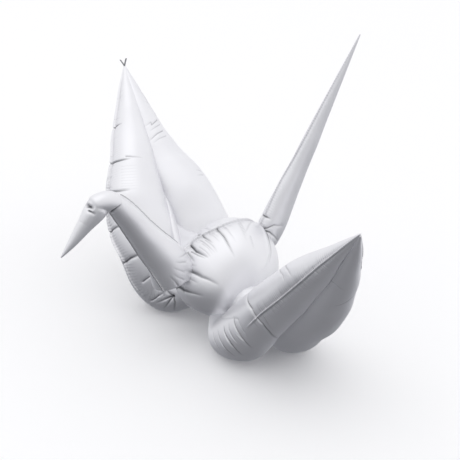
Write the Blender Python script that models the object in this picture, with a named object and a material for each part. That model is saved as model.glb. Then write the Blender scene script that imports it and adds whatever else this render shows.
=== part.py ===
# Foil balloon folded into the shape of a paper crane.
# One sealed envelope of thin foil, modelled solid: a puffed body, a neck that tapers to a bent
# head and beak, a long pointed tail, and two raised wings of two lobes each. The welded seams
# stand out as thin ridges, and the foil is pinched across the lobes where it gathers.
# It stands on the undersides of the four wing lobes, which are pressed flat there.
# X runs from beak to tail, Y from the lower wing to the higher one, Z up. The origin is on the
# floor, in the middle of the outline.

import bpy
import numpy as np

# Sizes of the whole balloon, in metres.
LENGTH = 0.1381  # beak tip to tail tip
SPAN = 0.1926  # wing tip to wing tip
HEIGHT = 0.1203  # floor to tail tip
BODY_WIDTH = 0.0408
LOBE_WIDTH = 0.0284  # widest wing lobe
NECK_WIDTH = 0.0194  # at the neck's root, seen from the side
HEAD_WIDTH = 0.0087
BEAK_WIDTH = 0.0104  # at the beak's root
TAIL_WIDTH = 0.0114  # at the tail's root

# Sizes of the foil's details, in metres.
SEAM_RISE = 0.0009  # how far a welded seam stands out
SEAM_BASE = 0.0013  # how wide it is where it leaves the surface
SEAM_FADE = 0.0040  # a tube with less half width than this has a lower seam
CREASE_DEPTH = 0.0009
CREASE_WIDTH = 0.0024
TAB_LENGTH = 0.0034  # the two loose ends of the seam at the higher wing's tip
TAB_WIDTH = 0.0009
TAB_OVERLAP = 0.0012  # how far they reach down into the tip
TIP_RADIUS = 0.0002  # the sharpest that a tube ends

# Lengths over which the tubes round off at their ends, in metres.
REAR_ROUND = 0.0190  # the body, under the tail
FRONT_ROUND = 0.0140  # the body, under the neck
LOBE_ROUND = 0.0050
HEAD_ROUND = 0.0030
NECK_ROUND = 0.0020

# The body's middle is this high. Below it, heights follow the lobes that carry the balloon.
BODY_RISE = 0.958 * LOBE_WIDTH

AROUND = 22  # corners around a tube, besides those of its seams
SEAM_ANGLE = 0.12  # the most that half a seam's base takes of a narrow tube, in radians

# Each row below is one station of a tube: its place along X, across Y and up, and the half width
# and half thickness there. Along is a share of LENGTH from the body's middle to the tail, across
# a share of half the SPAN, up a share of the rise from the body's middle to the top, or down to
# the floor where it is negative. Widths are shares of the size that the tube is made with.
FRONT_LOBE_HIGH = (
    (-0.004, 0.997, 0.595, 0.012, 0.012),
    (-0.042, 0.852, 0.464, 0.162, 0.162),
    (-0.102, 0.644, 0.298, 0.335, 0.335),
    (-0.145, 0.483, 0.136, 0.465, 0.412),
    (-0.146, 0.369, 0.001, 0.504, 0.423),
    (-0.122, 0.260, -0.625, 0.384, 0.394),
    (-0.076, 0.145, -0.533, 0.264, 0.264),
    (-0.036, 0.062, -0.368, 0.176, 0.176),
)
REAR_LOBE_HIGH = (
    (-0.003, 0.997, 0.595, 0.012, 0.012),
    (-0.010, 0.836, 0.447, 0.158, 0.158),
    (0.009, 0.665, 0.252, 0.320, 0.320),
    (0.043, 0.514, 0.108, 0.426, 0.408),
    (0.049, 0.426, 0.008, 0.465, 0.415),
    (0.083, 0.270, -0.662, 0.408, 0.398),
    (0.065, 0.145, -0.533, 0.282, 0.282),
    (0.036, 0.062, -0.368, 0.176, 0.176),
)
FRONT_LOBE_LOW = (
    (0.022, -0.997, 0.644, 0.012, 0.012),
    (0.007, -0.888, 0.522, 0.113, 0.113),
    (-0.011, -0.737, 0.354, 0.261, 0.261),
    (-0.027, -0.592, 0.189, 0.338, 0.338),
    (-0.048, -0.415, -0.048, 0.387, 0.387),
    (-0.070, -0.291, -0.566, 0.398, 0.398),
    (-0.075, -0.208, -0.706, 0.324, 0.324),
    (-0.036, -0.062, -0.441, 0.194, 0.194),
)
REAR_LOBE_LOW = (
    (0.022, -0.997, 0.635, 0.012, 0.012),
    (0.049, -0.872, 0.445, 0.151, 0.151),
    (0.067, -0.742, 0.258, 0.275, 0.275),
    (0.081, -0.592, 0.071, 0.366, 0.366),
    (0.085, -0.457, -0.180, 0.401, 0.401),
    (0.093, -0.280, -0.632, 0.391, 0.391),
    (0.069, -0.156, -0.533, 0.282, 0.282),
    (0.036, -0.062, -0.368, 0.176, 0.176),
)
GUSSET_HIGH = (
    (-0.036, 0.571, 0.172, 0.012, 0.012),
    (-0.044, 0.478, 0.096, 0.106, 0.106),
    (-0.052, 0.374, -0.011, 0.211, 0.211),
    (-0.022, 0.166, -0.110, 0.352, 0.352),
)
GUSSET_LOW = (
    (0.014, -0.540, 0.043, 0.012, 0.012),
    (0.018, -0.395, -0.221, 0.176, 0.176),
    (0.007, -0.291, -0.331, 0.282, 0.282),
    (0.000, -0.145, -0.294, 0.352, 0.352),
)
BODY = (
    (0.149, 0.0, 0.027, 0.495, 0.500),
    (0.080, 0.0, 0.019, 0.500, 0.500),
    (0.000, 0.0, -0.029, 0.480, 0.495),
    (-0.065, 0.0, -0.132, 0.431, 0.466),
    (-0.116, 0.0, -0.206, 0.387, 0.422),
    (-0.167, 0.0, -0.313, 0.333, 0.343),
)
NECK = (
    (-0.175, 0.0, 0.006, 0.500, 0.361),
    (-0.203, 0.0, 0.086, 0.469, 0.392),
    (-0.262, 0.0, 0.223, 0.351, 0.309),
    (-0.316, 0.0, 0.340, 0.278, 0.253),
    (-0.363, 0.0, 0.440, 0.227, 0.216),
    (-0.385, 0.0, 0.479, 0.186, 0.186),
)
HEAD = (
    (-0.363, 0.0, 0.440, 0.460, 0.460),
    (-0.394, 0.0, 0.476, 0.500, 0.483),
    (-0.429, 0.0, 0.483, 0.425, 0.460),
    (-0.454, 0.0, 0.476, 0.345, 0.391),
)
BEAK = (
    (-0.419, 0.0, 0.482, 0.500, 0.413),
    (-0.442, 0.0, 0.443, 0.471, 0.385),
    (-0.475, 0.0, 0.388, 0.327, 0.288),
    (-0.515, 0.0, 0.320, 0.183, 0.173),
    (-0.552, 0.0, 0.263, 0.038, 0.038),
)
TAIL = (
    (0.115, 0.0, 0.069, 0.439, 0.482),
    (0.144, 0.0, 0.150, 0.500, 0.491),
    (0.211, 0.0, 0.338, 0.395, 0.386),
    (0.329, 0.0, 0.676, 0.219, 0.211),
    (0.445, 0.0, 1.000, 0.022, 0.022),
)


def smooth_stations(rows, places):
    """Rows read at each place, a share of the length, on a smooth curve through the given rows."""
    rows = np.array(rows)
    steps = np.linalg.norm(np.diff(rows[:, :3], axis=0), axis=1)
    along = np.concatenate([[0.0], np.cumsum(steps)])
    slopes = np.diff(rows, axis=0) / steps[:, None]
    tangents = np.empty_like(rows)
    weights = steps[1:, None] / (steps[1:] + steps[:-1])[:, None]
    tangents[1:-1] = slopes[:-1] * weights + slopes[1:] * (1 - weights)
    tangents[0] = 1.5 * slopes[0] - 0.5 * tangents[1]
    tangents[-1] = 1.5 * slopes[-1] - 0.5 * tangents[-2]
    at = np.asarray(places) * along[-1]
    k = np.clip(np.searchsorted(along, at, side="right") - 1, 0, len(steps) - 1)
    t = ((at - along[k]) / steps[k])[:, None]
    h = steps[k][:, None]
    return (
        rows[k] * (2 * t**3 - 3 * t**2 + 1)
        + tangents[k] * h * (t**3 - 2 * t**2 + t)
        + rows[k + 1] * (3 * t**2 - 2 * t**3)
        + tangents[k + 1] * h * (t**3 - t**2)
    )


def in_metres(rows, width):
    """The shares of a table turned into metres, from the floor and the body's middle."""
    placed = []
    for along, across, up, half_width, half_thickness in rows:
        rise = BODY_RISE + up * ((HEIGHT - BODY_RISE) if up > 0 else BODY_RISE)
        x, y = along * LENGTH, across * SPAN / 2
        placed.append((x, y, rise, half_width * width, half_thickness * width))
    return placed


def places_along(length, stations, start, end, creases):
    """Places of the rings: even ones, closer ones where an end rounds off, three at each crease."""
    even = np.linspace(0.0, 1.0, stations)
    keep = even[(even > start / length) & (even < 1 - end / length)]
    quarter = 1 - np.cos(np.linspace(0.0, np.pi / 2, 5))
    found = [0.0, 1.0]
    found += list(start / length * quarter) if start else []
    found += list(1 - end / length * quarter) if end else []
    for crease in creases:
        found += [crease[0] + side * CREASE_WIDTH / 2 / length for side in (-1, 0, 1)]
    gap = 0.5 * CREASE_WIDTH / length
    near = [p for p in keep if min(abs(p - q) for q in found) > gap]
    return np.unique(np.round(np.clip(found + near, 0.0, 1.0), 5))


def tube(name, rows, width, side, stations=16, around=AROUND, seams=(), start=0.0, end=0.0, creases=()):
    """A closed tube along the rows, rounded off over the lengths start and end. Side is the way its
    half width runs. Seams lists the angles of its ridges, from that way. Each crease is (place,
    middle angle, reach), a pinch that fades out at that reach to either side."""
    rows = in_metres(rows, width)
    fine = smooth_stations(rows, np.linspace(0.0, 1.0, 200))
    length = np.linalg.norm(np.diff(fine[:, :3], axis=0), axis=1).sum()
    places = places_along(length, stations, start, end, creases)
    ring = smooth_stations(rows, places)
    ahead = smooth_stations(rows, np.clip(places + 1e-3, 0.0, 1.0))[:, :3]
    behind = smooth_stations(rows, np.clip(places - 1e-3, 0.0, 1.0))[:, :3]
    tangent = ahead - behind
    tangent /= np.linalg.norm(tangent, axis=1)[:, None]
    wide = np.array(side) - (tangent @ np.array(side))[:, None] * tangent
    wide /= np.linalg.norm(wide, axis=1)[:, None]
    deep = np.cross(tangent, wide)
    even = [2 * np.pi * k / around for k in range(around)]
    points = []
    for place, row, s, n in zip(places, ring, wide, deep):
        left = np.clip(place * length / start, 0, 1) if start else 1.0
        right = np.clip((1 - place) * length / end, 0, 1) if end else 1.0
        swell = np.sqrt(1 - (1 - left) ** 2) * np.sqrt(1 - (1 - right) ** 2)
        a, b = max(row[3] * swell, TIP_RADIUS), max(row[4] * swell, TIP_RADIUS)
        foot = min(SEAM_BASE / 2 / max(a, b), SEAM_ANGLE)
        corners = []
        for angle in even:
            if min([abs(angle - seam) for seam in seams], default=1.0) < 0.01:
                corners += [(angle - foot, 0.0), (angle, 1.0), (angle + foot, 0.0)]
            else:
                corners.append((angle, 0.0))
        for angle, ridge in corners:
            pinch = 0.0
            for middle, centre, reach in creases:
                near = 1 - abs(place - middle) * length / (0.45 * CREASE_WIDTH)
                off = abs((angle - centre + np.pi) % (2 * np.pi) - np.pi) / reach
                pinch = max(pinch, max(near, 0.0) * max(1 - off**2, 0.0))
            rise = SEAM_RISE * ridge * min(1.0, swell * a / SEAM_FADE) - CREASE_DEPTH * pinch
            points.append(
                row[:3]
                + s * np.cos(angle) * (a + rise)
                + n * np.sin(angle) * (b + rise)
            )
    count = around + 2 * len(seams)
    rings = len(places)
    faces = []
    for i in range(rings - 1):
        for j in range(count):
            k = (j + 1) % count
            faces.append((i * count + j, i * count + k, (i + 1) * count + k, (i + 1) * count + j))
    points += [ring[0, :3], ring[-1, :3]]
    for j in range(count):
        k = (j + 1) % count
        faces.append((rings * count, k, j))
        faces.append((rings * count + 1, (rings - 1) * count + j, (rings - 1) * count + k))
    mesh = bpy.data.meshes.new(name)
    mesh.from_pydata([tuple(map(float, p)) for p in points], [], faces)
    mesh.validate()
    mesh.shade_smooth()
    made = bpy.data.objects.new(name, mesh)
    bpy.context.scene.collection.objects.link(made)
    return made


def block(name, low, high):
    """A box between two corners."""
    corners = [(x, y, z) for x in (low[0], high[0]) for y in (low[1], high[1]) for z in (low[2], high[2])]
    faces = [(0, 1, 3, 2), (4, 6, 7, 5), (0, 4, 5, 1), (2, 3, 7, 6), (0, 2, 6, 4), (1, 5, 7, 3)]
    mesh = bpy.data.meshes.new(name)
    mesh.from_pydata(corners, [], faces)
    made = bpy.data.objects.new(name, mesh)
    bpy.context.scene.collection.objects.link(made)
    return made


def tab_end(name, lean):
    """One of the two loose ends of the seam past the higher wing's tip, leaning along X."""
    tip = np.array(in_metres(FRONT_LOBE_HIGH[:1], LOBE_WIDTH)[0][:3])
    out = np.array([lean, 0.25, 1.0])
    start = tip - TAB_OVERLAP * out / np.linalg.norm(out)
    end = tip + TAB_LENGTH * out / np.linalg.norm(out)
    mesh = bpy.data.meshes.new(name)
    points = []
    for middle, width in ((start, 0.8 * TAB_WIDTH), (end, TAB_WIDTH)):
        for x, y in ((-1, -0.6), (1, -0.6), (1, 0.6), (-1, 0.6)):
            points.append(tuple(map(float, middle + np.array([x, y, 0.0]) * width / 2)))
    faces = [(0, 1, 5, 4), (1, 2, 6, 5), (2, 3, 7, 6), (3, 0, 4, 7), (3, 2, 1, 0), (4, 5, 6, 7)]
    mesh.from_pydata(points, [], faces)
    made = bpy.data.objects.new(name, mesh)
    bpy.context.scene.collection.objects.link(made)
    return made


def combine(target, tool, operation):
    """Adds a Boolean modifier to the target and turns the tool into a helper. The tubes are closed, and
    the manifold solver joins them also where seams of two tubes cross or run side by side."""
    modifier = target.modifiers.new(f"{operation.lower()} {tool.name}", "BOOLEAN")
    modifier.operation = operation
    modifier.solver = "MANIFOLD"
    modifier.object = tool
    tool.hide_render = True
    tool.display_type = "WIRE"


def foil_material():
    """White pearl foil with a satin shine."""
    material = bpy.data.materials.new("pearl foil")
    material.use_nodes = True
    shader = material.node_tree.nodes["Principled BSDF"]
    shader.inputs["Base Color"].default_value = (0.78, 0.79, 0.83, 1.0)
    shader.inputs["Metallic"].default_value = 0.15
    shader.inputs["Roughness"].default_value = 0.34
    return material


for old in list(bpy.data.objects):
    bpy.data.objects.remove(old, do_unlink=True)

FORE = (-1.0, 0.0, 0.0)
AFT = (1.0, 0.0, 0.0)
UP = (0.0, 0.0, 1.0)

envelope = tube(
    "crane_envelope", BODY, BODY_WIDTH, UP, stations=15, around=30, seams=(0.0,), start=REAR_ROUND,
    end=FRONT_ROUND,
    creases=((0.48, 0.3, 0.8), (0.62, 0.3, 0.9), (0.75, 0.3, 1.0), (0.88, 0.3, 1.3)),
)
parts = [
    tube("high wing front lobe", FRONT_LOBE_HIGH, LOBE_WIDTH, FORE, seams=(0.0,), end=LOBE_ROUND, creases=(
        (0.24, 0.0, 0.9), (0.40, 0.0, 1.3), (0.51, 0.0, 1.1), (0.61, 0.0, 1.1),
        (0.70, 0.0, 1.2), (0.76, 0.0, 1.2), (0.82, 0.0, 1.2))),
    tube("high wing rear lobe", REAR_LOBE_HIGH, LOBE_WIDTH, AFT, seams=(0.0,), end=LOBE_ROUND, creases=(
        (0.24, 0.0, 1.3), (0.31, 0.0, 1.3), (0.49, 0.0, 0.6), (0.66, 0.0, 1.2), (0.78, 0.0, 1.2))),
    tube("low wing front lobe", FRONT_LOBE_LOW, LOBE_WIDTH, FORE, seams=(0.0,), end=LOBE_ROUND, creases=(
        (0.31, 0.0, 0.9), (0.58, 0.0, 1.1), (0.71, 0.0, 1.4), (0.77, 0.0, 1.2), (0.83, 0.0, 1.4))),
    tube("low wing rear lobe", REAR_LOBE_LOW, LOBE_WIDTH, AFT, seams=(0.0,), end=LOBE_ROUND, creases=(
        (0.33, 0.0, 0.9), (0.55, 0.0, 1.1), (0.68, 0.0, 1.2), (0.79, 0.0, 1.2))),
    tube("high wing gusset", GUSSET_HIGH, LOBE_WIDTH, FORE, stations=8, around=12),
    tube("low wing gusset", GUSSET_LOW, LOBE_WIDTH, FORE, stations=8, around=12),
    tube("neck", NECK, NECK_WIDTH, (-1.0, 0.0, -1.0), stations=9, around=20, seams=(0.0, np.pi),
         start=NECK_ROUND, end=NECK_ROUND, creases=((0.86, np.pi, 1.4),)),
    tube("head", HEAD, HEAD_WIDTH, UP, stations=6, around=16, start=HEAD_ROUND, end=NECK_ROUND),
    tube("beak", BEAK, BEAK_WIDTH, (-1.0, 0.0, 0.3), stations=8, around=16, start=HEAD_ROUND),
    tube("tail", TAIL, TAIL_WIDTH, (-1.0, 0.0, 0.4), stations=11, around=18, seams=(0.0,), start=HEAD_ROUND,
         creases=((0.19, 0.0, 1.4),)),
    tab_end("tip tab front end", -0.45),
    tab_end("tip tab rear end", 0.35),
]
for piece in parts:
    combine(envelope, piece, "UNION")
floor_cut = block("cut at the floor", (-LENGTH, -SPAN, -HEIGHT), (LENGTH, SPAN, 0.0))
combine(envelope, floor_cut, "DIFFERENCE")

envelope.data.materials.append(foil_material())

# The balloon is moved so that the middle of its outline is over the origin.
bpy.context.view_layer.update()
shape = envelope.evaluated_get(bpy.context.evaluated_depsgraph_get())
corners = np.array([tuple(corner) for corner in shape.bound_box])
middle = (corners.min(axis=0) + corners.max(axis=0)) / 2
for piece in [envelope, *parts, floor_cut]:
    piece.location = (-middle[0], -middle[1], 0.0)
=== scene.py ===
"""Looks of a crane-shaped foil balloon: one pearl film, blown up tight and puckered along its welds."""

import bpy
import numpy as np
from mathutils import Matrix


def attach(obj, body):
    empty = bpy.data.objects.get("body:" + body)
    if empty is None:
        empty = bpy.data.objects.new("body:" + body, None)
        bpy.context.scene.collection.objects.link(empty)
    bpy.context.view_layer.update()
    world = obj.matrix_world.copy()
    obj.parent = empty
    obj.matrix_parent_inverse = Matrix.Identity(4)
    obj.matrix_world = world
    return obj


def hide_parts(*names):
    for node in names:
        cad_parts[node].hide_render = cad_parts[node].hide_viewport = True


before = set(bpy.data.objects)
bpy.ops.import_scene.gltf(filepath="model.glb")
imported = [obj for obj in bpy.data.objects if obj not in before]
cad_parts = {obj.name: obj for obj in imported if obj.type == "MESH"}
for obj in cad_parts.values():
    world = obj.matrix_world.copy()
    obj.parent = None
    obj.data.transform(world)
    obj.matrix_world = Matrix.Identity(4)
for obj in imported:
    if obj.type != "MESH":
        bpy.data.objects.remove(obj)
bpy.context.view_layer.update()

MM = 0.001
NODE = "crane_envelope"

# Sizes of the balloon, in metres, as its solid has them.
LENGTH = 0.1381  # beak tip to tail tip
SPAN = 0.1926  # wing tip to wing tip
HEIGHT = 0.1203  # floor to tail tip
BODY_WIDTH = 0.0408
LOBE_WIDTH = 0.0284
NECK_WIDTH = 0.0194
HEAD_WIDTH = 0.0087
BEAK_WIDTH = 0.0104
TAIL_WIDTH = 0.0114
BODY_RISE = 0.958 * LOBE_WIDTH
MIDDLE = (-0.00742, 0.00038)  # the outline's middle, from the body's middle

# Sizes of the film's details, in metres.
WELD_RISE = 1.05 * MM  # a weld's flange stands out this far
WELD_HALF = 0.30 * MM  # and is this thick, from its middle
TIP_RADIUS = 0.25 * MM
TAB_LENGTH = 3.4 * MM
TAB_WIDTH = 0.6 * MM
TAB_THICKNESS = 0.36 * MM
FULL_SHADE_DEPTH = 0.9 * MM  # a fold at least this deep gets the full painted shade
SMOOTHING = 9 * MM  # a weld line's bends are evened out over this length, each way
SKIN_VOXEL = 0.28 * MM  # the head's skin is evened out at this pitch
CLEAR_OF_WELDS = 20 * MM  # at this distance from a weld the film has no puckers

TAB_LEANS = (-0.45, 0.35)  # one tab leans to the fore, one aft
TAB_RINGS = 8
TAB_DARKENING = 0.7  # how far each tab is drawn darker, all over
FACING = 0.08  # a point faces the camera where its normal has more than this of the camera's way
MAP_SCALE = 10.0  # the film's map is in tenths of a metre

# The dome's light. Each stop of it is a share of the way from straight below to overhead.
OVERHEAD = (0.28, 0.20, 0.94)  # the brightest way
DIM_SIDE = (-0.40, -0.84, 0.36)  # the side on which the dome is dimmer
DIM_SHARE = 0.20
DOME_STRENGTH = 1.06
DOME = (
    (0.02, "#606166"), (0.15, "#737479"), (0.28, "#9c9da3"), (0.40, "#dedfe2"), (0.55, "#f4f4f6"),
    (0.80, "#f8f8fa"), (0.98, "#f9f9fb"),
)

# The camera stands where the photograph was taken.
PHOTO = 460  # pixels each way
FOCAL = 2000.0  # pixels
AIM = np.array([0.01128, 0.00582, 0.04093])
AZIMUTH, ELEVATION = np.radians(-28.6), np.radians(28.0)
DISTANCE = 0.840
BACK = np.array([
    np.sin(AZIMUTH) * np.cos(ELEVATION), -np.cos(AZIMUTH) * np.cos(ELEVATION), np.sin(ELEVATION)
])
RIGHT = np.array([np.cos(AZIMUTH), np.sin(AZIMUTH), 0.0])
ABOVE = np.cross(BACK, RIGHT)

# Each row is one station of a tube: along, across and up as shares of the sizes above, then the
# half width and half thickness as shares of the tube's own width.
FRONT_LOBE_HIGH = (
    (-0.004, 0.997, 0.595, 0.012, 0.012),
    (-0.042, 0.852, 0.464, 0.162, 0.162),
    (-0.102, 0.644, 0.298, 0.335, 0.335),
    (-0.145, 0.483, 0.136, 0.465, 0.412),
    (-0.146, 0.369, 0.001, 0.504, 0.423),
    (-0.122, 0.260, -0.625, 0.384, 0.394),
    (-0.076, 0.145, -0.533, 0.264, 0.264),
    (-0.036, 0.062, -0.368, 0.176, 0.176),
)
REAR_LOBE_HIGH = (
    (-0.003, 0.997, 0.595, 0.012, 0.012),
    (-0.010, 0.836, 0.447, 0.158, 0.158),
    (0.009, 0.665, 0.252, 0.320, 0.320),
    (0.043, 0.514, 0.108, 0.426, 0.408),
    (0.049, 0.426, 0.008, 0.465, 0.415),
    (0.083, 0.270, -0.662, 0.408, 0.398),
    (0.065, 0.145, -0.533, 0.282, 0.282),
    (0.036, 0.062, -0.368, 0.176, 0.176),
)
FRONT_LOBE_LOW = (
    (0.022, -0.997, 0.644, 0.012, 0.012),
    (0.007, -0.888, 0.522, 0.113, 0.113),
    (-0.011, -0.737, 0.354, 0.261, 0.261),
    (-0.027, -0.592, 0.189, 0.338, 0.338),
    (-0.048, -0.415, -0.048, 0.387, 0.387),
    (-0.070, -0.291, -0.566, 0.398, 0.398),
    (-0.075, -0.208, -0.706, 0.324, 0.324),
    (-0.036, -0.062, -0.441, 0.194, 0.194),
)
REAR_LOBE_LOW = (
    (0.022, -0.997, 0.635, 0.012, 0.012),
    (0.049, -0.872, 0.445, 0.151, 0.151),
    (0.067, -0.742, 0.258, 0.275, 0.275),
    (0.081, -0.592, 0.071, 0.366, 0.366),
    (0.085, -0.457, -0.180, 0.401, 0.401),
    (0.093, -0.280, -0.632, 0.391, 0.391),
    (0.069, -0.156, -0.533, 0.282, 0.282),
    (0.036, -0.062, -0.368, 0.176, 0.176),
)
GUSSET_HIGH = (
    (-0.036, 0.571, 0.172, 0.012, 0.012),
    (-0.044, 0.478, 0.096, 0.106, 0.106),
    (-0.052, 0.374, -0.011, 0.211, 0.211),
    (-0.022, 0.166, -0.110, 0.352, 0.352),
)
WEB_HIGH = (
    (-0.046, 0.516, 0.179, 0.012, 0.010),
    (-0.050, 0.449, 0.117, 0.046, 0.200),
    (-0.059, 0.387, 0.067, 0.072, 0.260),
    (-0.072, 0.310, -0.005, 0.100, 0.280),
    (-0.079, 0.248, -0.161, 0.100, 0.260),
)
GUSSET_LOW = (
    (0.014, -0.540, 0.043, 0.012, 0.012),
    (0.018, -0.395, -0.221, 0.176, 0.176),
    (0.007, -0.291, -0.331, 0.282, 0.282),
    (0.000, -0.145, -0.294, 0.352, 0.352),
)
BODY = (
    (0.149, 0.0, 0.027, 0.495, 0.500),
    (0.080, 0.0, 0.019, 0.500, 0.500),
    (0.000, 0.0, -0.029, 0.480, 0.495),
    (-0.065, 0.0, -0.132, 0.431, 0.466),
    (-0.116, 0.0, -0.206, 0.387, 0.422),
    (-0.167, 0.0, -0.313, 0.333, 0.343),
)
NECK = (
    (-0.184, 0.0, -0.004, 0.500, 0.361),
    (-0.203, 0.0, 0.086, 0.469, 0.392),
    (-0.262, 0.0, 0.223, 0.351, 0.309),
    (-0.316, 0.0, 0.340, 0.278, 0.253),
    (-0.363, 0.0, 0.440, 0.227, 0.216),
    (-0.385, 0.0, 0.479, 0.186, 0.186),
)
HEAD = (
    (-0.363, 0.0, 0.440, 0.460, 0.460),
    (-0.394, 0.0, 0.476, 0.500, 0.483),
    (-0.429, 0.0, 0.483, 0.425, 0.460),
    (-0.454, 0.0, 0.476, 0.345, 0.391),
)
BEAK = (
    (-0.419, 0.0, 0.482, 0.500, 0.413),
    (-0.442, 0.0, 0.443, 0.471, 0.385),
    (-0.475, 0.0, 0.388, 0.327, 0.288),
    (-0.515, 0.0, 0.320, 0.183, 0.173),
    (-0.552, 0.0, 0.263, 0.038, 0.038),
)
TAIL = (
    (0.115, 0.0, 0.069, 0.439, 0.482),
    (0.144, 0.0, 0.150, 0.500, 0.491),
    (0.211, 0.0, 0.338, 0.395, 0.386),
    (0.329, 0.0, 0.676, 0.219, 0.211),
    (0.445, 0.0, 1.000, 0.022, 0.022),
)

# The film's welds and creases, by the pixels of the photograph that they pass. A weld's row is its
# run of pixels. A crease's row has its depth and its half width in millimetres, then its pixels, from
# its deep end on. Where the depth is below nought, it is a ridge.
HIGH_FRONT_WELD = (
    (115.5, 120.0), (112.5, 150.0), (109.3, 185.0), (108.0, 234.0), (125.5, 264.5), (153.0, 298.5)
)
HIGH_FRONT_CREASES = (
    (0.90, 0.34, (112.0, 128.5), (116.5, 126.0), (122.5, 123.2)),
    (1.00, 0.36, (110.5, 164.5), (119.0, 160.5), (131.5, 158.7)),
    (0.40, 0.28, (126.0, 156.6), (132.0, 157.0), (143.0, 158.0)),
    (0.80, 0.34, (108.5, 192.6), (119.0, 191.3), (131.0, 190.0)),
    (0.90, 0.40, (104.8, 234.8), (111.0, 231.0), (116.5, 227.0), (121.5, 226.6)),
    (1.00, 0.42, (121.5, 265.0), (130.7, 258.6), (136.0, 256.0), (143.5, 252.0)),
    (0.70, 0.40, (143.0, 282.0), (148.5, 278.0), (157.0, 271.5)),
    (0.80, 0.42, (150.5, 301.0), (157.0, 297.0), (166.5, 291.3)),
    (0.90, 0.45, (172.0, 297.0), (164.0, 300.0), (154.5, 303.5)),
    (0.90, 0.45, (172.0, 297.0), (168.0, 304.0), (163.0, 309.0)),
    (0.80, 0.45, (172.0, 297.0), (175.0, 303.5), (174.0, 311.0)),
    (0.70, 0.45, (172.0, 297.0), (168.0, 292.5), (165.0, 287.5)),
)
# Nine fine ripples lie below the second crease, 2.9 pixels under one another.
HIGH_FRONT_RIPPLES = tuple(
    (0.07, 0.22, (121.0, down + 0.6), (131.0, down), (139.0, down - 0.6))
    for down in 166.0 + 2.9 * np.arange(9)
)
HIGH_REAR_CREASES = (
    (0.45, 0.30, (158.0, 119.5), (152.0, 124.5), (151.0, 122.0), (144.6, 127.2)),
    (0.30, 0.26, (160.5, 124.0), (154.0, 128.5), (149.5, 131.0)),
    (0.45, 0.30, (163.0, 130.5), (157.5, 133.5), (153.0, 138.0), (149.7, 141.5)),
    (0.25, 0.28, (166.0, 136.0), (159.0, 139.0), (153.0, 143.5)),
    (0.22, 0.28, (201.0, 171.0), (195.0, 170.0)),
    (0.22, 0.28, (203.0, 174.5), (197.0, 175.0)),
)
LOW_FRONT_WELD = (
    (350.0, 241.0), (346.7, 244.0), (337.0, 251.5), (328.4, 258.0), (313.7, 270.5), (300.5, 281.5),
    (280.0, 298.5), (261.0, 314.0), (250.0, 325.0), (240.8, 333.6), (226.0, 345.0)
)
LOW_FRONT_CREASES = (
    (0.40, 0.30, (285.0, 264.5), (288.5, 270.0), (293.0, 278.0)),
    (0.30, 0.30, (279.0, 268.0), (283.0, 275.0), (286.0, 283.0)),
)
# Creases that fade out at both ends and part the lobe's lower end into pads.
LOW_FRONT_PADS = (
    (1.10, 0.42, (245.0, 288.0), (247.0, 300.0), (252.0, 309.0), (262.0, 324.5), (269.0, 332.0),
     (282.0, 340.0)),
    (1.10, 0.42, (233.5, 316.0), (234.0, 324.0), (238.0, 333.0), (243.5, 340.5), (253.0, 348.5)),
    (0.85, 0.38, (223.5, 325.0), (224.0, 332.0), (229.0, 342.0), (235.0, 349.5), (243.0, 355.5)),
    (0.60, 0.34, (217.5, 328.0), (218.0, 335.0), (222.0, 344.0), (228.0, 351.5), (236.0, 357.0)),
    (0.45, 0.32, (213.5, 331.0), (213.5, 337.0), (216.5, 345.0), (221.5, 351.5)),
    (0.30, 0.28, (237.5, 312.0), (238.0, 319.0), (242.0, 328.0), (248.0, 337.0)),
    (0.30, 0.28, (256.0, 303.0), (259.5, 311.0), (266.0, 321.0), (273.0, 330.0)),
    (0.35, 0.28, (228.5, 322.0), (228.5, 329.0), (233.0, 338.0), (238.0, 344.0)),
)
LOW_REAR_CREASES = (
    (0.35, 0.34, (352.5, 297.5), (343.0, 304.0), (333.0, 306.0)),
    (0.30, 0.30, (330.0, 277.0), (336.0, 285.0), (345.0, 291.0)),
)
# The raised line down the middle of the nearer wing's outer face.
LOW_REAR_RIDGE = (
    (-0.70, 0.45, (355.5, 244.0), (344.5, 262.0), (335.0, 276.5), (322.0, 295.0)),
)
BODY_WELD = (
    (192.0, 241.0), (198.5, 238.0), (205.5, 234.3), (217.6, 228.3), (235.5, 222.6), (250.0, 219.5)
)
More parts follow.
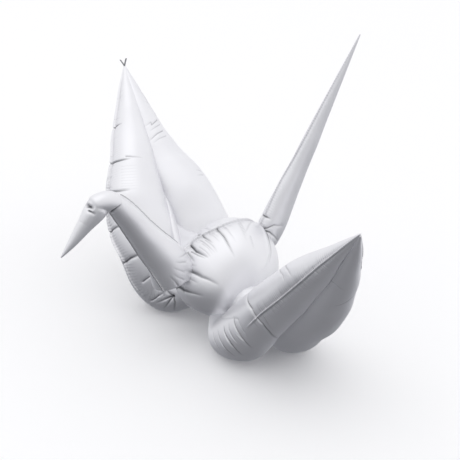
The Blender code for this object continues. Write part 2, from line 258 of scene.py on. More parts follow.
# The last two rows are the raised weld round the body's rear end and the valley behind it.
BODY_CREASES = (
    (1.80, 0.60, (189.0, 243.0), (196.0, 249.5), (201.0, 252.5), (208.5, 258.0)),
    (0.55, 0.34, (191.0, 250.0), (198.0, 255.0), (206.0, 259.0)),
    (0.80, 0.38, (197.0, 233.5), (205.5, 237.0), (212.5, 243.0)),
    (0.32, 0.34, (200.0, 240.0), (208.0, 245.5), (216.0, 253.5)),
    (0.28, 0.32, (205.0, 239.0), (213.0, 246.0), (217.5, 253.0)),
    (0.75, 0.36, (215.5, 227.5), (224.0, 236.0), (229.0, 244.5), (235.5, 257.5)),
    (0.20, 0.32, (225.0, 227.0), (231.0, 234.0), (236.5, 243.0)),
    (0.18, 0.32, (238.5, 223.0), (243.0, 231.0), (247.0, 242.0)),
    (0.18, 0.32, (205.0, 228.0), (212.0, 231.5), (218.5, 237.0)),
    (1.60, 0.56, (182.5, 265.0), (191.0, 270.0), (202.0, 276.5), (219.0, 286.0)),
    (1.50, 0.56, (174.5, 286.8), (184.0, 289.8), (191.0, 292.5), (204.0, 296.5)),
    (0.60, 0.36, (176.0, 298.5), (182.0, 301.0), (190.0, 304.0)),
    (0.60, 0.36, (187.0, 251.0), (191.0, 257.0), (195.5, 262.5)),
    (0.40, 0.34, (184.5, 260.0), (190.0, 263.5), (197.0, 266.0)),
    (0.35, 0.34, (184.0, 275.0), (192.0, 280.0), (199.0, 283.5)),
    (0.18, 0.34, (240.0, 222.5), (243.5, 228.5), (247.5, 236.0)),
    (0.18, 0.34, (251.0, 222.0), (247.0, 229.0), (242.5, 235.5)),
    (0.16, 0.34, (250.0, 236.0), (253.0, 243.0), (254.0, 250.0)),
    (0.26, 0.32, (199.0, 246.0), (206.0, 252.0), (211.0, 257.0)),
    (0.22, 0.30, (202.0, 243.5), (208.5, 248.5), (213.5, 255.0)),
    (0.18, 0.30, (208.0, 232.5), (214.0, 236.5), (220.0, 243.0)),
    (-1.20, 0.62, (259.0, 220.0), (263.0, 229.0), (266.8, 240.0), (268.8, 252.5), (266.0, 263.0),
     (262.0, 270.0)),
    (0.50, 0.36, (262.5, 222.5), (266.6, 231.0), (269.4, 241.0), (271.2, 252.5), (268.6, 264.0)),
)
NECK_WELD = (
    (109.0, 213.5), (123.0, 233.5), (137.0, 253.0), (151.0, 272.5), (165.0, 293.0)
)
NECK_CREASES = (
    (1.00, 0.40, (111.0, 213.0), (116.0, 209.5), (118.5, 207.5), (122.0, 204.0)),
    (0.26, 0.34, (188.5, 252.0), (182.5, 256.0), (177.0, 258.0)),
    (0.26, 0.34, (186.0, 262.0), (180.0, 262.5), (174.0, 262.0)),
    (0.22, 0.34, (184.5, 272.0), (178.5, 270.5), (172.0, 268.0)),
    (0.26, 0.34, (178.0, 286.0), (174.5, 281.0), (169.0, 276.0)),
    (0.22, 0.34, (184.0, 280.0), (179.0, 278.0), (172.5, 274.0)),
)
HEAD_FOLDS = (
    (2.60, 0.75, (82.5, 201.5), (86.0, 205.0), (90.0, 207.0), (94.0, 210.0)),
    (1.00, 0.40, (88.0, 211.0), (91.5, 212.5), (95.5, 215.0)),
    (0.90, 0.40, (111.0, 213.0), (116.0, 209.5), (118.5, 207.5), (122.0, 204.0)),
    (0.08, 0.40, (80.0, 221.0), (84.0, 223.5), (88.0, 226.0)),
)
TAIL_WELD = (
    (340.0, 71.0), (328.0, 93.0), (304.5, 139.0), (282.5, 178.0), (268.0, 208.0)
)
TAIL_CREASES = (
    (1.30, 0.46, (260.0, 213.5), (265.0, 217.0), (272.0, 220.0)),
    (0.80, 0.40, (259.5, 229.5), (267.0, 229.0), (274.0, 226.0), (284.0, 226.0)),
    (0.90, 0.40, (262.0, 230.5), (270.0, 233.5), (275.0, 237.0), (278.0, 242.5)),
)

FORE, AFT, UP = (-1.0, 0.0, 0.0), (1.0, 0.0, 0.0), (0.0, 0.0, 1.0)


def in_metres(rows, width):
    """The rows of a table placed on the floor, in metres, with the outline's middle at the origin."""
    rows = np.array(rows)
    up = rows[:, 2]
    placed = rows.copy()
    placed[:, 0] = rows[:, 0] * LENGTH - MIDDLE[0]
    placed[:, 1] = rows[:, 1] * SPAN / 2 - MIDDLE[1]
    placed[:, 2] = BODY_RISE + up * np.where(up > 0, HEIGHT - BODY_RISE, BODY_RISE)
    placed[:, 3:] = rows[:, 3:] * width
    return placed


def smooth_rows(rows, shares):
    """Rows read at shares of the length, on cubics that pass each given row with one slope."""
    steps = np.linalg.norm(np.diff(rows[:, :3], axis=0), axis=1)
    along = np.concatenate([[0.0], np.cumsum(steps)])
    slopes = np.diff(rows, axis=0) / steps[:, None]
    tangents = np.empty_like(rows)
    weights = (steps[1:] / (steps[1:] + steps[:-1]))[:, None]
    tangents[1:-1] = slopes[:-1] * weights + slopes[1:] * (1 - weights)
    tangents[0] = 1.5 * slopes[0] - 0.5 * tangents[1]
    tangents[-1] = 1.5 * slopes[-1] - 0.5 * tangents[-2]
    at = np.asarray(shares) * along[-1]
    k = np.clip(np.searchsorted(along, at, side="right") - 1, 0, len(steps) - 1)
    t, h = ((at - along[k]) / steps[k])[:, None], steps[k][:, None]
    return (
        rows[k] * (2 * t**3 - 3 * t**2 + 1)
        + tangents[k] * h * (t**3 - 2 * t**2 + t)
        + rows[k + 1] * (3 * t**2 - 2 * t**3)
        + tangents[k + 1] * h * (t**3 - t**2)
    )


def in_photo(points):
    """The pixel of the photograph where each point shows: its way right and down, over its depth."""
    away = points - AIM
    depth = DISTANCE - away @ BACK
    return np.stack(
        [PHOTO / 2 + FOCAL * (away @ RIGHT) / depth, PHOTO / 2 - FOCAL * (away @ ABOVE) / depth], axis=-1
    )


def wrapped(angle):
    """An angle brought between minus and plus half a turn."""
    return (angle + np.pi) % (2 * np.pi) - np.pi


def fold_depth(gap):
    """How deep a fold is at a gap, in half widths: a sharp valley, e to the minus gap to the power
    1.25, and a broad shallow one, e to the minus a fifth of the gap."""
    return 0.80 * np.exp(-gap**1.25) + 0.20 * np.exp(-gap / 5)


def fold_line(gap, depth):
    """How much painted shade a fold puts at a gap from its line: a bell curve, as strong as the
    fold is deep."""
    return np.minimum(1.0, depth / FULL_SHADE_DEPTH) * np.exp(-((gap / 0.75) ** 2))


class Tube:
    """One blown-up tube of film. Its rings lie along a smooth spine, and a point of it is the spine
    plus the ring's half width times the cosine of the angle on the side's way, plus its half
    thickness times the sine on the way across. Relief adds to both halves. The tube turns about its
    spine so that the first weld follows a line seen in the photograph, where one is given. The mesh's
    spacing along and around is in millimetres, and an end is rounded off over start or end."""

    def __init__(self, rows, width, side, welds=(), start=0.0, end=0.0, mesh=(0.26, 0.55), weld_line=()):
        rows = in_metres(rows, width)
        spine = smooth_rows(rows, np.linspace(0, 1, 400))
        self.length = np.linalg.norm(np.diff(spine[:, :3], axis=0), axis=1).sum()
        places = self.ring_places(start, end, rows[:, 3].max(), mesh[0] * MM)
        self.along = places * self.length
        ring = smooth_rows(rows, places)
        ahead = smooth_rows(rows, np.clip(places + 1e-3, 0, 1))[:, :3]
        tangent = ahead - smooth_rows(rows, np.clip(places - 1e-3, 0, 1))[:, :3]
        tangent /= np.linalg.norm(tangent, axis=1)[:, None]
        wide = np.array(side) - (tangent @ np.array(side))[:, None] * tangent
        self.wide = wide / np.linalg.norm(wide, axis=1)[:, None]
        self.deep = np.cross(tangent, self.wide)
        self.spine = ring[:, :3]
        left = np.clip(self.along / start, 0, 1) if start else 1.0
        right = np.clip((self.length - self.along) / end, 0, 1) if end else 1.0
        swell = np.sqrt(1 - (1 - left) ** 2) * np.sqrt(1 - (1 - right) ** 2)
        self.half_width = np.maximum(ring[:, 3] * swell, TIP_RADIUS)
        self.half_thickness = np.maximum(ring[:, 4] * swell, TIP_RADIUS)
        self.radius = (self.half_width + self.half_thickness) / 2
        self.welds = welds
        around = self.ring_angles(rows[:, 3:].max(), mesh[1] * MM)
        self.angles = np.tile(around, (len(places), 1))
        self.relief = np.zeros(self.angles.shape)
        # How much painted shade darkens each point, from none to all.
        self.painted_shade = np.zeros(self.angles.shape)
        self.look()
        if weld_line:
            passed = np.array(sorted(self.under(pixel) for pixel in weld_line))
            turn = np.interp(self.along, passed[:, 0], np.unwrap(wrapped(passed[:, 1])))
            window = np.hanning(2 * int(SMOOTHING / (mesh[0] * MM)) + 1)
            padded = np.pad(turn, len(window) // 2, mode="edge")
            turn = np.convolve(padded, window / window.sum(), mode="valid")
            self.angles = around + (turn - welds[0])[:, None]
            self.welds = tuple(weld - welds[0] + turn[:, None] for weld in welds)
            self.look()

    def look(self):
        """Notes where each point shows in the photograph, and which points face the camera."""
        self.seen = in_photo(self.points())
        self.faces_camera = self.normals() @ BACK > FACING

    def ring_places(self, start, end, radius, step):
        """Shares of the length for the rings: even, and on quarter circles where an end rounds off."""
        quarter = 1 - np.cos(np.linspace(0, np.pi / 2, int(1.2 * radius / step) + 2))
        places = np.linspace(start, self.length - end, int((self.length - start - end) / step))
        if start:
            places = np.concatenate([start * quarter[:-1], places])
        if end:
            places = np.concatenate([places, self.length - end * quarter[-2::-1]])
        return places / self.length

    def ring_angles(self, radius, step):
        """Angles of the points round a ring: even, with a close group on each weld's flange."""
        count = int(2 * np.pi * radius / step / 2) * 2
        even = 2 * np.pi * np.arange(count) / count
        flange = WELD_HALF / radius * np.array([-3.2, -2.2, -1.5, -1.0, -0.5, 0, 0.5, 1.0, 1.5, 2.2, 3.2])
        for weld in self.welds:
            clear = np.abs(wrapped(even - weld)) > 4.0 * WELD_HALF / radius
            even = np.concatenate([even[clear], (weld + flange) % (2 * np.pi)])
        return np.sort(even)

    def points(self):
        """The points of every ring, as an array of rings by angles by three."""
        width = (self.half_width[:, None] + self.relief) * np.cos(self.angles)
        thickness = (self.half_thickness[:, None] + self.relief) * np.sin(self.angles)
        return (
            self.spine[:, None] + self.wide[:, None] * width[..., None]
            + self.deep[:, None] * thickness[..., None]
        )

    def normals(self):
        """The outward way at each point: the cross product of the ways round and along."""
        points = self.points()
        round_way = np.roll(points, -1, axis=1) - np.roll(points, 1, axis=1)
        along_way = np.gradient(points, axis=0)
        normal = np.cross(round_way, along_way)
        normal /= np.maximum(np.linalg.norm(normal, axis=-1, keepdims=True), 1e-12)
        outward = points - self.spine[:, None]
        return normal * np.sign((normal * outward).sum())

    def under(self, pixel):
        """The place along and the angle of this tube's point that shows at a pixel of the photograph."""
        gap = np.linalg.norm(self.seen - np.array(pixel), axis=-1) + 1e3 * ~self.faces_camera
        i, j = np.unravel_index(gap.argmin(), gap.shape)
        return self.along[i], self.angles[i, j]

    def weld_gap(self):
        """Distance on the film from each point to the nearest weld."""
        gaps = [np.abs(wrapped(self.angles - weld)) * self.radius[:, None] for weld in self.welds]
        return np.min(gaps, axis=0) if gaps else np.full(self.angles.shape, 0.05)

    def distance(self, ends):
        """Distance on the film from each point to a run of places, and the share run by then: the
        least over its legs, each taken flat, with along one way and angle times radius the other."""
        nearest = np.full(self.relief.shape, 1e3)
        share = np.zeros(self.relief.shape)
        for leg, (first, last) in enumerate(zip(ends[:-1], ends[1:])):
            turn = first[1] + wrapped(last[1] - first[1]) / 2
            radius = np.interp([first[0], last[0]], self.along, self.radius)
            across = wrapped(np.array([first[1], last[1]]) - turn) * radius
            run = np.array([last[0] - first[0], across[1] - across[0]])
            x = self.along[:, None] - first[0]
            y = wrapped(self.angles - turn) * self.radius[:, None] - across[0]
            part = np.clip((x * run[0] + y * run[1]) / max(run @ run, 1e-12), 0, 1)
            gap = np.hypot(x - part * run[0], y - part * run[1])
            share = np.where(gap < nearest, (leg + part) / (len(ends) - 1), share)
            nearest = np.minimum(nearest, gap)
        return nearest, share

    def crease(self, ends, depth, half_width, fade=2.0, both=False):
        """A fold pressed in along a run of places, which fades out towards its last place, or towards
        both."""
        gap, share = self.distance(ends)
        gap = gap / half_width
        strength = 1 - (np.abs(2 * share - 1) if both else share) ** fade
        self.relief -= depth * fold_depth(gap) * strength
        # Painted shade along the fold's line.
        self.painted_shade = np.maximum(self.painted_shade, fold_line(gap, depth) * strength)

    def photo_creases(self, creases, both=False):
        """Creases given by the pixels of the photograph that they pass, with depth and half width."""
        for depth, half_width, *pixels in creases:
            places = [self.under(pixel) for pixel in pixels]
            self.crease(places, depth * MM, half_width * MM, both=both)

    def puckers(self, spacing, reach, depth, seed, low=0.05, high=0.95):
        """Short creases that leave a weld on both sides, at uneven places between two shares."""
        chance = np.random.default_rng(seed)
        for weld in self.welds:
            for way in (-1, 1):
                place = low * self.length + spacing * chance.uniform(0.1, 0.6)
                while place < high * self.length:
                    ring = np.searchsorted(self.along, place)
                    angle = weld if np.isscalar(weld) else weld[ring, 0]
                    radius = self.radius[ring]
                    long = min(reach * chance.uniform(0.3, 1.0), 1.4 * radius)
                    lean = chance.uniform(-0.35, 0.35) * long
                    ends = [(place, angle), (place + lean, angle + way * long / radius)]
                    strength = chance.uniform(0.3, 1.0) * min(1.0, radius / (6 * MM))
                    self.crease(ends, depth * strength, chance.uniform(0.28, 0.5) * MM, fade=1.2)
                    place += spacing * chance.uniform(0.5, 1.5)

    def waves(self, height, spacing, seed):
        """Broad soft swells of the film: a mean of sines of the place along random ways."""
        chance = np.random.default_rng(seed)
        points = self.points()
        total = np.zeros(self.relief.shape)
        ways = chance.normal(size=(14, 3))
        ways /= np.linalg.norm(ways, axis=1)[:, None]
        for way in ways:
            pitch = spacing * chance.uniform(0.7, 1.6)
            total += np.sin(2 * np.pi * (points @ way) / pitch + chance.uniform(0, 2 * np.pi))
        fade = np.minimum(1.0, self.radius / (5 * MM))[:, None]
        self.relief += height * fade * total / np.sqrt(len(ways))

    def ripples(self, pitch, height, reach, seed, low=0.05, high=0.95):
        """Fine ripples that leave the welds: a sine of the way along, with an uneven pitch, that dies
        off as e to the minus distance from the weld over a reach."""
        chance = np.random.default_rng(seed)
        knots = np.linspace(0, self.length, int(self.length / (3.0 * pitch)) + 2)
        drift = np.interp(self.along, knots, chance.uniform(-0.45, 0.45, len(knots)) * pitch)
        loud = np.interp(self.along, knots, chance.uniform(0.2, 1.0, len(knots)))
        place = self.along / self.length
        loud = loud * np.clip((place - low) / 0.05, 0, 1) * np.clip((high - place) / 0.05, 0, 1)
        sine = np.sin(2 * np.pi * (self.along + drift) / pitch)
        fade = np.exp(-self.weld_gap() / reach) * np.minimum(1.0, self.radius / (5 * MM))[:, None]
        self.relief += height * fade * (loud * sine)[:, None]
        # Painted shade in the ripples' valleys.
        valleys = (loud * np.maximum(-sine, 0) ** 3)[:, None]
        self.painted_shade = np.maximum(self.painted_shade, 0.45 * fade * valleys)

    def fill_out(self, angle, spread, height, low, high):
        """A broad swell along one side: a bell curve of the angle, between two shares of the length."""
        place = self.along / self.length
        fade = np.clip((place - low) / 0.15, 0, 1) * np.clip((high - place) / 0.15, 0, 1)
        self.relief += height * fade[:, None] * np.exp(-((wrapped(self.angles - angle) / spread) ** 2))

    def flanges(self, rise=WELD_RISE, shade=0.15, foot=1.6, low=-1.0, high=2.0):
        """Each weld's flange: a thin rim, steep on both sides, lower where the tube is narrow, and
        gone outside two shares of the length. A line of painted shade, as dark as the shade argument, runs
        along its foot."""
        place = (self.along / self.length)[:, None]
        fade = np.clip((place - low) / 0.06, 0, 1) * np.clip((high - place) / 0.06, 0, 1)
        fade = fade * np.minimum(1.0, self.radius / (4 * MM))[:, None]
        gap = self.weld_gap() / WELD_HALF
        self.relief += fade * rise * (1 / (1 + gap**4) - 0.12 * np.exp(-(((gap - 3.0) / 1.5) ** 2)))
        # Painted shade: a dark line along the flange's foot.
        self.painted_shade = np.maximum(self.painted_shade, shade * fade * np.exp(-(((gap - foot) / 0.8) ** 2)))

    def mesh(self, name):
        """The tube as a closed mesh on the floor: rings joined by quads, each end by a fan. Its map
        has the way along the tube and the distance from the nearest weld, in tenths of a metre. The
        distance counts for more where the tube is narrow, because puckers are shorter there."""
        points = self.points()
        points[..., 2] = np.maximum(points[..., 2], 0.0)
        rings, around = self.relief.shape
        index = np.arange(rings * around).reshape(rings, around)
        after = np.roll(index, -1, axis=1)
        quads = np.stack([index[:-1], after[:-1], after[1:], index[1:]], axis=-1).reshape(-1, 4)
        first, last = rings * around, rings * around + 1
        caps = np.concatenate([
            np.stack([np.full(around, first), after[0], index[0]], axis=-1),
            np.stack([np.full(around, last), index[-1], after[-1]], axis=-1),
        ])
        ends = np.array([points[0].mean(axis=0), points[-1].mean(axis=0)])
        middle = points.mean(axis=(0, 1))
        corner = [points.reshape(-1, 3)[quads[:, k]] - middle for k in range(3)]
        inside_out = (corner[0] * np.cross(corner[1], corner[2])).sum() < 0
        order = slice(None, None, -1) if inside_out else slice(None)
        made = bpy.data.meshes.new(name)
        made.from_pydata(
            np.concatenate([points.reshape(-1, 3), ends]), [],
            quads[:, order].tolist() + caps[:, order].tolist(),
        )
        along = np.broadcast_to(self.along[:, None], self.relief.shape)
        gap = self.weld_gap() * np.maximum(1.0, 10 * MM / self.radius)[:, None]
        flat = np.stack([along, gap], axis=-1).reshape(-1, 2)
        flat = np.concatenate([flat, [[0.0, 0.0], [self.length, 0.0]]])
        lay_map(made, flat)
        # The painted shade goes with the mesh as a mark on its points.
        mark_painted_shade(made, np.concatenate([self.painted_shade.ravel(), [0.0, 0.0]]))
        made.shade_smooth()
        return made


def lay_map(mesh, flat):
    """Gives a mesh the film's map, from a pair of distances at each point, in metres."""
    corner = np.empty(len(mesh.loops), dtype=np.int32)
    mesh.loops.foreach_get("vertex_index", corner)
    layer = mesh.uv_layers.new(name="film")
    layer.uv.foreach_set("vector", (MAP_SCALE * flat[corner]).astype(np.float32).ravel())


def mark_painted_shade(mesh, share):
    """Notes on a mesh how much each point is darkened, from none to all: painted shade along folds, weld feet
    and ripple valleys, and the tabs' darker tone.
    """
    layer = mesh.attributes.new("painted_shade", "FLOAT", "POINT")
    layer.data.foreach_set("value", share.astype(np.float32))


def blended(name, tubes, voxel):
    """Closed tubes that overlap made one skin: remeshed in voxels, then evened out, which leaves a soft
    fillet where they meet."""
    made = bpy.data.objects.new(name, tubes[0].mesh(name))
    bpy.context.scene.collection.objects.link(made)
    for tube in tubes[1:]:
        other = bpy.data.objects.new("joined", tube.mesh("joined"))
        bpy.context.scene.collection.objects.link(other)
        join = made.modifiers.new("join", "BOOLEAN")
        join.operation, join.solver, join.object = "UNION", "MANIFOLD", other
    even = made.modifiers.new("voxels", "REMESH")
    even.mode, even.voxel_size = "VOXEL", voxel
    smooth = made.modifiers.new("smooth", "SMOOTH")
    smooth.factor, smooth.iterations = 0.5, 14
    shape = made.evaluated_get(bpy.context.evaluated_depsgraph_get())
    skin = bpy.data.meshes.new_from_object(shape)
    for old in [made] + [m.object for m in made.modifiers if m.type == "BOOLEAN"]:
        bpy.data.objects.remove(old, do_unlink=True)
    return skin


def points_of(mesh, what="vertices"):
    """The places of a mesh's points, or the outward ways there, as an array."""
    found = np.empty(3 * len(mesh.vertices), dtype=np.float32)
    if what == "vertices":
        mesh.vertices.foreach_get("co", found)
    else:
        mesh.vertex_normals.foreach_get("vector", found)
    return found.reshape(-1, 3).astype(float)


def press_folds(mesh, folds):
    """Presses folds into a mesh: a point that shows near a run of pixels moves in along its normal by
    the depth times the fold's shape at that gap, less and less towards the run's end."""
    points, normals = points_of(mesh), points_of(mesh, "normals")
    seen = in_photo(points)
    facing = np.clip((normals @ BACK + 0.15) / 0.3, 0, 1)
    scale = DISTANCE / FOCAL
    painted_shade = np.zeros(len(points))
    for depth, half_width, *pixels in folds:
        nearest, share = np.full(len(points), 1e3), np.zeros(len(points))
        for leg, (first, last) in enumerate(zip(pixels[:-1], pixels[1:])):
            run = np.array(last) - np.array(first)
            part = np.clip((seen - np.array(first)) @ run / (run @ run), 0, 1)
            gap = np.linalg.norm(seen - np.array(first) - part[:, None] * run, axis=1) * scale
            share = np.where(gap < nearest, (leg + part) / (len(pixels) - 1), share)
            nearest = np.minimum(nearest, gap)
        gap = nearest / (half_width * MM)
        strength = (1 - share**3) * facing
        points -= normals * (depth * MM * fold_depth(gap) * strength)[:, None]
        # Painted shade along the pressed folds.
        painted_shade = np.maximum(painted_shade, fold_line(gap, depth * MM) * strength)
    mesh.vertices.foreach_set("co", points.astype(np.float32).ravel())
    mark_painted_shade(mesh, painted_shade)
    mesh.update()


def node(tree, kind, settings=None, **links):
    """Adds a node of a kind to a tree, with its settings and values, and links its named inputs."""
    made = tree.nodes.new(kind)
    for key, value in (settings or {}).items():
        if hasattr(made, key):
            setattr(made, key, value)
        else:
            made.inputs[key.replace("_", " ")].default_value = value
    for key, socket in links.items():
        tree.links.new(socket, made.inputs[key.replace("_", " ")])
    return made


def colour(hex_value):
    """An sRGB hex colour turned to linear light, with full cover."""
    parts = [int(hex_value[i:i + 2], 16) / 255 for i in (1, 3, 5)]
    return tuple(p / 12.92 if p <= 0.04045 else ((p + 0.055) / 1.055) ** 2.4 for p in parts) + (1.0,)


def pearl_foil():
    """White pearl balloon film: nylon with a thin layer of aluminium behind white pearl ink, drawn,
    printed and welded flat. It gives a satin shine, soft wide highlights and grey reflections of what
    is round it. Its colour is darkened with painted shade along folds, at the feet of welds and in
    ripple valleys."""
    material = bpy.data.materials.new("pearl balloon film")
    material.use_nodes = True
    tree = material.node_tree
    tree.nodes.clear()
    place = node(tree, "ShaderNodeTexCoord").outputs["Object"]
    # The ink's tint drifts over about 14 mm.
    broad = node(tree, "ShaderNodeTexNoise", {"Scale": 70.0, "Detail": 2.0, "Roughness": 0.5}, Vector=place)
    tint = node(tree, "ShaderNodeMix", {"data_type": "RGBA"}, Factor=broad.outputs["Fac"])
    tint.inputs[6].default_value = colour("#ebebee")
    tint.inputs[7].default_value = colour("#f2f2f4")
    # Painted shade: where the mesh's mark is high, the ink's tint is mixed towards dark grey, so folds, weld
    # feet and ripple valleys look shaded.
    painted_shade = node(tree, "ShaderNodeAttribute", {"attribute_name": "painted_shade"})
    tint_and_painted_shade = node(tree, "ShaderNodeMix", {"data_type": "RGBA"}, Factor=painted_shade.outputs["Fac"])
    tree.links.new(tint.outputs[2], tint_and_painted_shade.inputs[6])
    # The dark grey of the painted shade.
    tint_and_painted_shade.inputs[7].default_value = colour("#494a50")
    # The film puckers every 1.1 mm along a weld, up to 7 mm from it. The map is in tenths of a metre.
    flat = node(tree, "ShaderNodeUVMap", {"uv_map": "film"})
    parts = node(tree, "ShaderNodeSeparateXYZ", Vector=flat.outputs["UV"])
    pucker = node(
        tree, "ShaderNodeTexWave", {"Scale": 28.6, "Distortion": 2.6, "Detail": 2.0, "Detail_Scale": 0.6},
        Vector=flat.outputs["UV"],
    )
    near = node(
        tree, "ShaderNodeMapRange", {"From Max": 0.07, "To Min": 1.0, "To Max": 0.0}, Value=parts.outputs["Y"]
    )
    height = node(tree, "ShaderNodeMath", {"operation": "MULTIPLY"})
    tree.links.new(pucker.outputs["Fac"], height.inputs[0])
    tree.links.new(near.outputs["Result"], height.inputs[1])
    puckered = node(
        tree, "ShaderNodeBump", {"Strength": 0.30, "Distance": 0.0003}, Height=height.outputs["Value"]
    )
    dent = node(
        tree, "ShaderNodeBump", {"Strength": 0.16, "Distance": 0.0004},
        Height=broad.outputs["Fac"], Normal=puckered.outputs["Normal"],
    )
    # The ink's grain is finer than 0.1 mm. It is drawn at 2 mm, so that it shows.
    fine = node(tree, "ShaderNodeTexNoise", {"Scale": 420.0, "Detail": 3.0, "Roughness": 0.55}, Vector=place)
    grain = node(
        tree, "ShaderNodeBump", {"Strength": 0.08, "Distance": 0.00012},
        Height=fine.outputs["Fac"], Normal=dent.outputs["Normal"],
    )
    shader = node(
        tree, "ShaderNodeBsdfPrincipled", {"Metallic": 0.88, "Roughness": 0.46, "IOR": 1.5},
        Base_Color=tint_and_painted_shade.outputs[2], Normal=grain.outputs["Normal"],
    )
    node(tree, "ShaderNodeOutputMaterial", Surface=shader.outputs["BSDF"])
    return material


def floor_paint():
    """Matt white paper sweep: no shine and no grain that shows."""
    material = bpy.data.materials.new("white paper")
    material.use_nodes = True
    shader = material.node_tree.nodes["Principled BSDF"]
    shader.inputs["Base Color"].default_value = colour("#fefefe")
    shader.inputs["Roughness"].default_value = 0.9
    return material


def add_piece(name, mesh, material):
    """Puts a mesh in the scene as a piece of the balloon's film."""
    mesh.materials.clear()
    mesh.materials.append(material)
    piece = bpy.data.objects.new(name, mesh)
    bpy.context.scene.collection.objects.link(piece)
    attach(piece, "root")
    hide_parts(NODE)


def high_front_lobe():
    """The farther wing's front lobe: a long crescent with the weld on its fore edge, cut into pads by
    creases below the neck and gathered at its lower end. It is a tube on its rows."""
    lobe = Tube(FRONT_LOBE_HIGH, LOBE_WIDTH, FORE, welds=(0.0,), end=0.005, weld_line=HIGH_FRONT_WELD)
    lobe.waves(0.18 * MM, 17 * MM, seed=11)
    lobe.puckers(4.0 * MM, 5.0 * MM, 0.22 * MM, seed=12, low=0.10, high=0.86)
    lobe.photo_creases(HIGH_FRONT_CREASES)
    lobe.photo_creases(HIGH_FRONT_RIPPLES)
    lobe.flanges(high=0.80)
    return lobe


def high_rear_lobe():
    """The farther wing's rear lobe: the weld runs on its aft edge. It is a tube on its rows, with a
    broad swell on its outer side."""
    lobe = Tube(REAR_LOBE_HIGH, LOBE_WIDTH, AFT, welds=(0.0,), end=0.005)
    lobe.fill_out(2.65, 0.48, 2.4 * MM, low=0.10, high=0.85)
    lobe.waves(0.18 * MM, 19 * MM, seed=21)
    lobe.puckers(3.4 * MM, 7.0 * MM, 0.34 * MM, seed=22, low=0.10, high=0.88)
    lobe.photo_creases(HIGH_REAR_CREASES)
    lobe.flanges(high=0.80)
    return lobe


def high_web():
    """The narrow web of film that shows between the farther wing's lobes. It is thin from lobe to
    lobe and deep from front to back, so that it reaches the gusset behind it."""
    return Tube(WEB_HIGH, LOBE_WIDTH, RIGHT, mesh=(0.8, 0.5))


def low_front_lobe():
    """The nearer wing's front lobe. Its weld faces the camera, and creases across it part its round
    lower end into pads."""
    lobe = Tube(FRONT_LOBE_LOW, LOBE_WIDTH, FORE, welds=(0.0,), end=0.005, weld_line=LOW_FRONT_WELD)
    lobe.waves(0.18 * MM, 16 * MM, seed=31)
    lobe.puckers(2.3 * MM, 5.0 * MM, 0.24 * MM, seed=32, low=0.10, high=0.60)
    lobe.photo_creases(LOW_FRONT_CREASES)
    lobe.photo_creases(LOW_FRONT_PADS, both=True)
    lobe.ripples(1.0 * MM, 0.09 * MM, 2.2 * MM, seed=33, low=0.06, high=0.58)
    lobe.flanges(rise=0.42 * MM, shade=0.40, high=0.64)
    return lobe


def low_rear_lobe():
    """The nearer wing's rear lobe, with the weld on its aft edge. It is a tube on its rows."""
    lobe = Tube(REAR_LOBE_LOW, LOBE_WIDTH, AFT, welds=(0.0,), end=0.005)
    lobe.waves(0.18 * MM, 16 * MM, seed=41)
    lobe.puckers(3.0 * MM, 8.0 * MM, 0.40 * MM, seed=42, low=0.10, high=0.88)
    lobe.photo_creases(LOW_REAR_CREASES)
    lobe.photo_creases(LOW_REAR_RIDGE, both=True)
    lobe.flanges(high=0.80)
    return lobe


def body():
    """The round body, with a weld along its back. Deep folds fan out from the neck's root, and a weld
    round its rear end parts off the pad below the tail."""
    round_body = Tube(
        BODY, BODY_WIDTH, UP, welds=(0.0,), start=0.019, end=0.014, mesh=(0.34, 0.38), weld_line=BODY_WELD
    )
    round_body.waves(0.20 * MM, 22 * MM, seed=51)
    round_body.puckers(3.0 * MM, 6.5 * MM, 0.26 * MM, seed=52, low=0.14, high=0.92)
    round_body.photo_creases(BODY_CREASES)
    round_body.flanges(low=0.10, high=0.95)
    return round_body


def neck():
    """The neck, flattened a little, with a weld on its upper and its lower edge."""
    long_neck = Tube(
        NECK, NECK_WIDTH, (-1.0, 0.0, -1.0), welds=(0.0, np.pi), start=0.0025, end=0.002,
        mesh=(0.26, 0.36), weld_line=NECK_WELD,
    )
    long_neck.waves(0.10 * MM, 14 * MM, seed=61)
    long_neck.puckers(3.5 * MM, 3.5 * MM, 0.14 * MM, seed=62)
    long_neck.photo_creases(NECK_CREASES)
    long_neck.flanges(rise=0.5 * MM, shade=0.75, foot=0.2)
    return long_neck


def head_and_beak():
    """The bent head and the pointed beak in one skin, with the deep notch where the film folds over
    at the beak's root."""
    small_head = Tube(HEAD, HEAD_WIDTH, UP, start=0.003, end=0.002)
    long_beak = Tube(BEAK, BEAK_WIDTH, (-1.0, 0.0, 0.3), start=0.003)
    skin = blended("head_and_beak", (small_head, long_beak), SKIN_VOXEL)
    press_folds(skin, HEAD_FOLDS)
    points = points_of(skin)
    lay_map(skin, np.stack([points[:, 0], np.full(len(points), CLEAR_OF_WELDS)], axis=-1))
    skin.shade_smooth()
    return skin


def tail():
    """The long pointed tail. Its weld runs just inside the left edge, and the film folds over where
    the tail leaves the body."""
    long_tail = Tube(
        TAIL, TAIL_WIDTH, RIGHT, welds=(0.0,), start=0.003, mesh=(0.30, 0.36), weld_line=TAIL_WELD
    )
    long_tail.half_thickness *= 0.80
    long_tail.waves(0.09 * MM, 16 * MM, seed=91)
    long_tail.puckers(7.0 * MM, 3.0 * MM, 0.06 * MM, seed=92, low=0.15, high=0.8)
    long_tail.photo_creases(TAIL_CREASES)
    long_tail.flanges(rise=0.6 * MM, shade=0.10)
    return long_tail


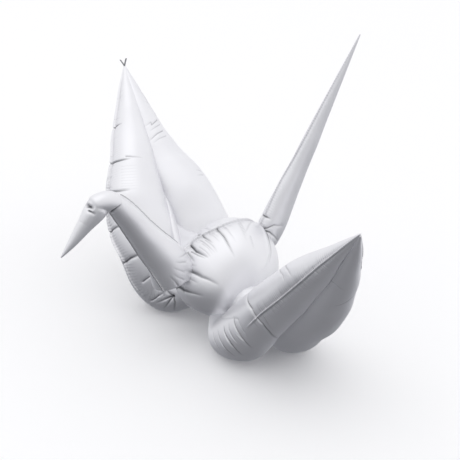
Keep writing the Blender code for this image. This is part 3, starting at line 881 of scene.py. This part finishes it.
def loose_tabs():
    """Two loose ends of the weld at the farther wing's tip, as flat strips. A ring's middle is the
    tip, plus its share of the length along the strip's way, bent outwards by the share squared."""
    tip = in_metres(FRONT_LOBE_HIGH[:1], LOBE_WIDTH)[0, :3]
    shares = np.linspace(-0.3, 1.0, TAB_RINGS)[:, None]
    corners = np.array([(-1, -1, 0), (1, -1, 0), (1, 1, 0), (-1, 1, 0)])
    corners = corners * np.array([TAB_WIDTH, TAB_THICKNESS, 0]) / 2
    points, faces = [], []
    for lean in TAB_LEANS:
        way = np.array([lean, 0.25, 1.0])
        way /= np.linalg.norm(way)
        bend = np.array([lean, 0, 0]) * (0.6 * MM * shares**2)
        middle = tip + way * (TAB_LENGTH * shares) + bend
        first = sum(len(p) for p in points)
        points.append((middle[:, None] + corners).reshape(-1, 3))
        index = first + np.arange(4 * TAB_RINGS).reshape(TAB_RINGS, 4)
        after = np.roll(index, -1, axis=1)
        faces += np.stack([index[:-1], after[:-1], after[1:], index[1:]], axis=-1).reshape(-1, 4).tolist()
        faces += [index[0, ::-1].tolist(), index[-1].tolist()]
    points = np.concatenate(points)
    made = bpy.data.meshes.new("loose tabs")
    made.from_pydata(points, [], faces)
    made.validate()
    lay_map(made, np.stack([points[:, 2], np.full(len(points), CLEAR_OF_WELDS)], axis=-1))
    # The tabs are drawn darker all over, on the same mark that carries the painted shade.
    mark_painted_shade(made, np.full(len(points), TAB_DARKENING))
    return made


def soft_light(name, place, size, power):
    """A square soft light that looks at the balloon."""
    light = bpy.data.lights.new(name, "AREA")
    light.shape, light.size, light.energy = "SQUARE", size, power
    made = bpy.data.objects.new(name, light)
    away = np.array(place) - AIM
    back = away / np.linalg.norm(away)
    right = np.cross([0, 0, 1], back)
    right /= np.linalg.norm(right)
    above = np.cross(back, right)
    made.matrix_world = Matrix.Translation(place) @ Matrix(np.stack([right, above, back], axis=1)).to_4x4()
    bpy.context.scene.collection.objects.link(made)


def soft_dome():
    """Even soft light from all round, white overhead and grey below, as in a bright room. Its grey
    follows how far a way points along the slanted overhead way, and it is dimmer on one side."""
    world = bpy.data.worlds.new("soft dome")
    world.use_nodes = True
    tree = world.node_tree
    tree.nodes.clear()
    way = node(tree, "ShaderNodeTexCoord").outputs["Generated"]
    up = node(tree, "ShaderNodeVectorMath", {"operation": "DOT_PRODUCT"})
    tree.links.new(way, up.inputs[0])
    up.inputs[1].default_value = OVERHEAD
    share = node(tree, "ShaderNodeMapRange", {"From Min": -1.0, "From Max": 1.0}, Value=up.outputs["Value"])
    ramp = node(tree, "ShaderNodeValToRGB")
    for place, grey in DOME:
        stop = ramp.color_ramp.elements.new(place)
        stop.color = colour(grey)
    ramp.color_ramp.elements.remove(ramp.color_ramp.elements[0])
    ramp.color_ramp.elements.remove(ramp.color_ramp.elements[-1])
    tree.links.new(share.outputs["Result"], ramp.inputs["Fac"])
    toward = node(tree, "ShaderNodeVectorMath", {"operation": "DOT_PRODUCT"})
    tree.links.new(way, toward.inputs[0])
    toward.inputs[1].default_value = DIM_SIDE
    strength = node(tree, "ShaderNodeMapRange", {
        "interpolation_type": "SMOOTHSTEP", "From Min": 0.5, "From Max": 1.0,
        "To Min": DOME_STRENGTH, "To Max": DOME_STRENGTH * (1 - DIM_SHARE),
    }, Value=toward.outputs["Value"])
    light = node(
        tree, "ShaderNodeBackground", Strength=strength.outputs["Result"], Color=ramp.outputs["Color"]
    )
    node(tree, "ShaderNodeOutputWorld", Surface=light.outputs["Background"])
    return world


def studio():
    """White floor, one soft light, the dome, and the camera at the photograph's place."""
    mesh = bpy.data.meshes.new("floor")
    mesh.from_pydata([(-4, -4, 0), (4, -4, 0), (4, 4, 0), (-4, 4, 0)], [], [(0, 1, 2, 3)])
    mesh.materials.append(floor_paint())
    floor = bpy.data.objects.new("floor", mesh)
    bpy.context.scene.collection.objects.link(floor)
    floor.visible_glossy = False
    soft_light("key", (-0.25, 0.10, 1.20), 1.2, 1.2)
    bpy.context.scene.world = soft_dome()
    lens = bpy.data.cameras.new("camera")
    lens.sensor_width = 36.0
    lens.lens = 36.0 * FOCAL / PHOTO
    lens.clip_start, lens.clip_end = 0.01, 20.0
    camera = bpy.data.objects.new("camera", lens)
    turn = Matrix(np.stack([RIGHT, ABOVE, BACK], axis=1)).to_4x4()
    camera.matrix_world = Matrix.Translation(AIM + DISTANCE * BACK) @ turn
    bpy.context.scene.collection.objects.link(camera)
    bpy.context.scene.camera = camera
    bpy.context.scene.view_settings.view_transform = "Standard"


film = pearl_foil()
for name, tube in (
    ("high_wing_front_lobe", high_front_lobe()),
    ("high_wing_rear_lobe", high_rear_lobe()),
    ("low_wing_front_lobe", low_front_lobe()),
    ("low_wing_rear_lobe", low_rear_lobe()),
    ("high_wing_gusset", Tube(GUSSET_HIGH, LOBE_WIDTH, FORE, mesh=(0.5, 0.8))),
    ("high_wing_web", high_web()),
    ("low_wing_gusset", Tube(GUSSET_LOW, LOBE_WIDTH, FORE, mesh=(0.5, 0.8))),
    ("body", body()),
    ("neck", neck()),
    ("tail", tail()),
):
    add_piece(name, tube.mesh(name), film)
add_piece("head_and_beak", head_and_beak(), film)
add_piece("wing_tip_tabs", loose_tabs(), film)
studio()
